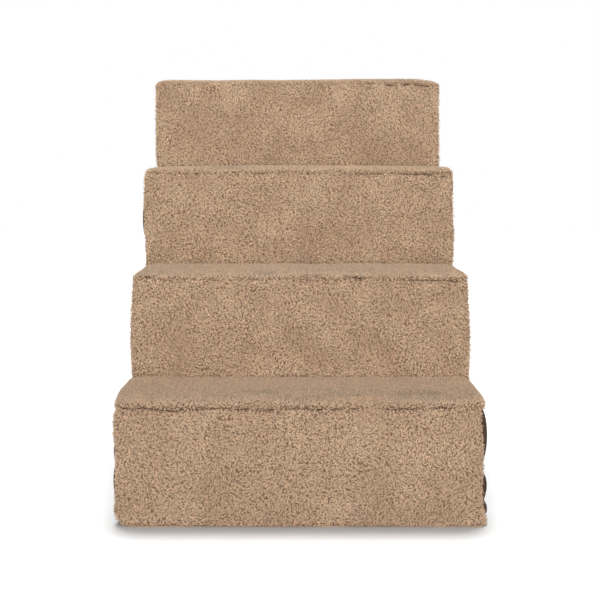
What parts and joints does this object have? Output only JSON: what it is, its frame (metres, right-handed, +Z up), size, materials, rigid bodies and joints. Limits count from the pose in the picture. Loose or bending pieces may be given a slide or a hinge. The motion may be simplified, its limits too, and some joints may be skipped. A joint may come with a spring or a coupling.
{
  "type": "pet stairs",
  "caption": "Portable pet stairs: fleece treads and risers with suede sides, zipped as one cover over a snap-together moulded frame.",
  "frame": {"origin": "middle of the footprint, on the floor: the bottom centre of the bounding box", "axes": "+X across the stairs, +Y the way that they climb, +Z up"},
  "size_m": [0.395, 0.6074, 0.5094],
  "materials": {
    "frame_plastic": "moulded polypropylene, satin",
    "foot_rubber": "matt",
    "tan_fleece": "curly sherpa pile",
    "brown_suede": "brushed faux suede",
    "hem_elastic": "woven elastic",
    "zip_tape": "woven herringbone tape",
    "zip_teeth": "moulded acetal",
    "zip_metal": "enamelled zinc casting"
  },
  "bodies": {
    "stairs": {"left_side_frame": "frame_plastic", "right_side_frame": "frame_plastic", "tread_board_1": "frame_plastic", "tread_board_2": "frame_plastic", "tread_board_3": "frame_plastic", "tread_board_4": "frame_plastic", "riser_board_1": "frame_plastic", "riser_board_2": "frame_plastic", "riser_board_3": "frame_plastic", "riser_board_4": "frame_plastic", "rear_rail_top": "frame_plastic", "rear_rail_middle": "frame_plastic", "rear_rail_bottom": "frame_plastic", "base_rail_front": "frame_plastic", "base_rail_middle": "frame_plastic", "rubber_feet": "foot_rubber", "tread_fleece_1": "tan_fleece", "tread_fleece_2": "tan_fleece", "tread_fleece_3": "tan_fleece", "tread_fleece_4": "tan_fleece", "riser_fleece_1": "tan_fleece", "riser_fleece_2": "tan_fleece", "riser_fleece_3": "tan_fleece", "riser_fleece_4": "tan_fleece", "left_side_cover": "brown_suede", "right_side_cover": "brown_suede", "back_cover_left": "brown_suede", "back_cover_right": "brown_suede", "elastic_hem": "hem_elastic", "zip_tape_left": "zip_tape", "zip_tape_right": "zip_tape", "zip_teeth_left": "zip_teeth", "zip_teeth_right": "zip_teeth", "zip_stops": "zip_teeth"},
    "zip_slider": {"zip_slider": "zip_metal"},
    "zip_pull": {"zip_pull": "zip_metal"}
  },
  "joints": [
    {"name": "zip_slide", "type": "slide", "parent": "stairs", "child": "zip_slider", "axis": [0, 0, -1], "range_m": [0, 0.428]},
    {"name": "zip_pull_swing", "type": "hinge", "parent": "zip_slider", "child": "zip_pull", "pos_m": [0, 0.3016, 0.4602], "axis": [1, 0, 0], "range_deg": [0, 165]}
  ]
}
